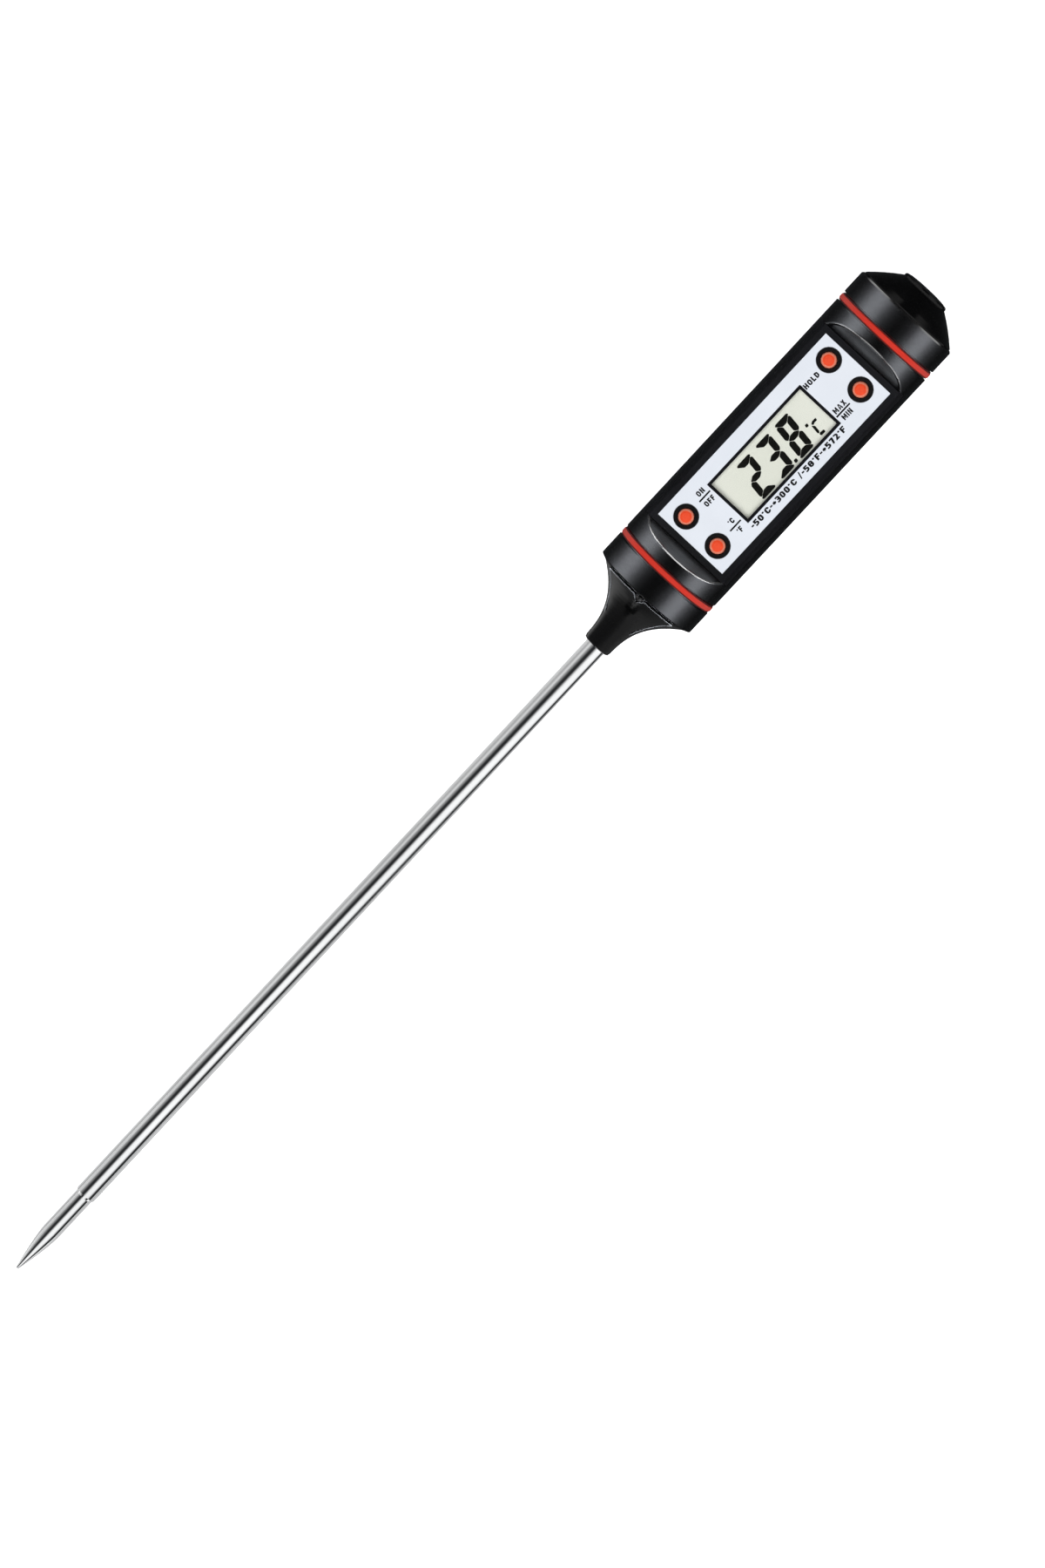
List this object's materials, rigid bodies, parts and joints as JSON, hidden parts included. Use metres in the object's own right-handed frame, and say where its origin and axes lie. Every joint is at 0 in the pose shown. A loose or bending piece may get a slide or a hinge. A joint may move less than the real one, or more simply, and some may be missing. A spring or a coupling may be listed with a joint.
{
  "type": "digital probe thermometer",
  "caption": "Pen-shaped digital thermometer: pointed steel probe, trumpet nose, round handle with flat display bay, push buttons, trim rings and a screw-off battery cap.",
  "frame": {"origin": "middle of the footprint, on the surface that the thermometer lies on", "axes": "+X from the probe tip to the battery cap, +Z the way the display faces; the long axis is 10.05 mm above the origin"},
  "size_m": [0.24, 0.021, 0.0205],
  "materials": {
    "black_gloss": "gloss black moulded plastic",
    "orange_rubber": "smooth orange-red elastic band",
    "charcoal_matte": "finely textured charcoal plastic",
    "panel_white": "satin printed overlay",
    "black_collar": "satin black",
    "orange_button": "smooth orange",
    "clear_window": "clear polished",
    "lcd_glass": "polarised glass cell",
    "reflector_film": "satin film",
    "white_plastic": "moulded",
    "zebra_rubber": "striped silicone",
    "board_green": "solder mask",
    "switch_metal": "stamped dome",
    "black_epoxy": "poured epoxy",
    "component_tan": "ceramic",
    "screw_steel": "plated",
    "stainless": "polished",
    "collar_brass": "turned",
    "filler_white": "cured compound",
    "bead_glass": "fused",
    "lead_copper": "enamelled wire",
    "sleeve_white": "silicone sleeving",
    "holder_black": "moulded",
    "spring_steel": "drawn wire",
    "contact_brass": "stamped strip",
    "cell_metal": "pressed can",
    "seal_rubber": "smooth"
  },
  "bodies": {
    "handle": {"housing": "black_gloss", "nose_cone": "black_gloss", "front_ring": "orange_rubber", "rear_ring": "orange_rubber", "display_bezel": "charcoal_matte", "face_panel": "panel_white", "button_collars": "black_collar", "lcd_window": "clear_window", "lcd_glass": "lcd_glass", "lcd_reflector": "reflector_film", "lcd_holder": "white_plastic", "zebra_strips": "zebra_rubber", "circuit_board": "board_green", "tact_switches": "switch_metal", "controller_chip": "black_epoxy", "board_components": "component_tan", "board_screws": "screw_steel", "probe_tube": "stainless", "probe_collar": "collar_brass", "tip_filler": "filler_white", "thermistor_bead": "bead_glass", "sensor_leads": "lead_copper", "lead_sleeve": "sleeve_white", "battery_holder": "holder_black", "battery_spring": "spring_steel", "positive_contact": "contact_brass"},
    "power_button_key": {"power_button": "orange_button"},
    "unit_button_key": {"unit_button": "orange_button"},
    "hold_button_key": {"hold_button": "orange_button"},
    "max_min_button_key": {"max_min_button": "orange_button"},
    "cell": {"battery": "cell_metal"},
    "cap_carriage": {"cap_seal": "seal_rubber"},
    "cap": {"battery_cap": "black_gloss"}
  },
  "joints": [
    {"name": "power_press", "type": "slide", "parent": "handle", "child": "power_button_key", "axis": [0, 0, -1], "range_m": [0, 0.0004], "stiffness_N_per_m": 1000},
    {"name": "unit_press", "type": "slide", "parent": "handle", "child": "unit_button_key", "axis": [0, 0, -1], "range_m": [0, 0.0004], "stiffness_N_per_m": 1000},
    {"name": "hold_press", "type": "slide", "parent": "handle", "child": "hold_button_key", "axis": [0, 0, -1], "range_m": [0, 0.0004], "stiffness_N_per_m": 1000},
    {"name": "max_min_press", "type": "slide", "parent": "handle", "child": "max_min_button_key", "axis": [0, 0, -1], "range_m": [0, 0.0004], "stiffness_N_per_m": 1000},
    {"name": "cap_travel", "type": "slide", "parent": "handle", "child": "cap_carriage", "axis": [1, 0, 0], "range_m": [0, 0.003]},
    {"name": "cap_turn", "type": "hinge", "parent": "cap_carriage", "child": "cap", "pos_m": [0.118, 0, 0.01005], "axis": [1, 0, 0], "range_deg": [0, 1080.5]},
    {"name": "cell_travel", "type": "slide", "parent": "handle", "child": "cell", "axis": [1, 0, 0], "range_m": [0, 0.00151]}
  ],
  "couplings": [
    {"joint": "cap_turn", "follows": "cap_travel", "rad_per_m": 6283.2},
    {"joint": "cell_travel", "follows": "cap_travel", "ratio": 0.5}
  ]
}
